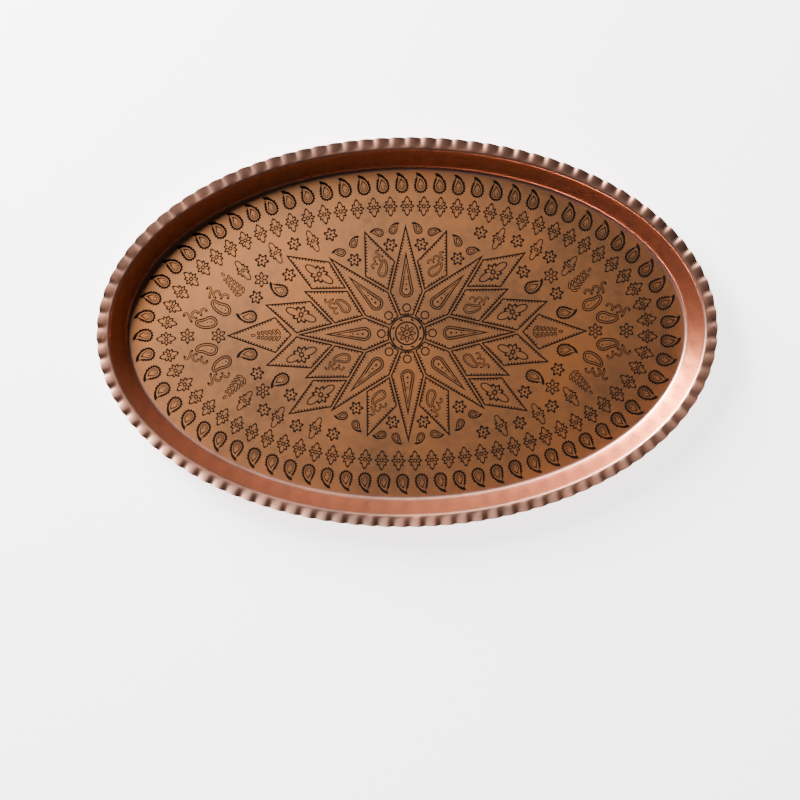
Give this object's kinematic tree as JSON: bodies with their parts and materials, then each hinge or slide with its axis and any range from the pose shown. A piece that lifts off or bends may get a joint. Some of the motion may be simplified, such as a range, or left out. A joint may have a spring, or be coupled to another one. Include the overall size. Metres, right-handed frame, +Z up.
{
  "type": "oval serving tray",
  "caption": "Oval copper serving tray with a crimped rim and a chased, black-filled star, paisley and flower pattern on its floor.",
  "frame": {"origin": "centre of the tray's underside, on the surface that it rests on", "axes": "+X along the tray's length, +Y across it, +Z up out of the tray"},
  "size_m": [0.5, 0.314, 0.028],
  "materials": {
    "copper": null,
    "black_compound": "matt black compound rubbed into the chased lines"
  },
  "bodies": {
    "root": {"tray_pan": "copper", "star_line_fill": "black_compound", "lozenge_line_fill": "black_compound", "medallion_fill": "black_compound", "long_drop_fill": "black_compound", "small_boteh_fill": "black_compound", "toothed_boteh_fill": "black_compound", "star_flower_fill": "black_compound", "round_flower_fill": "black_compound", "large_leaf_flower_fill": "black_compound", "small_leaf_flower_fill": "black_compound", "leafy_cone_fill": "black_compound", "curled_paisley_fill": "black_compound", "border_boteh_fill": "black_compound", "leaf_ring_fill": "black_compound"}
  },
  "joints": []
}
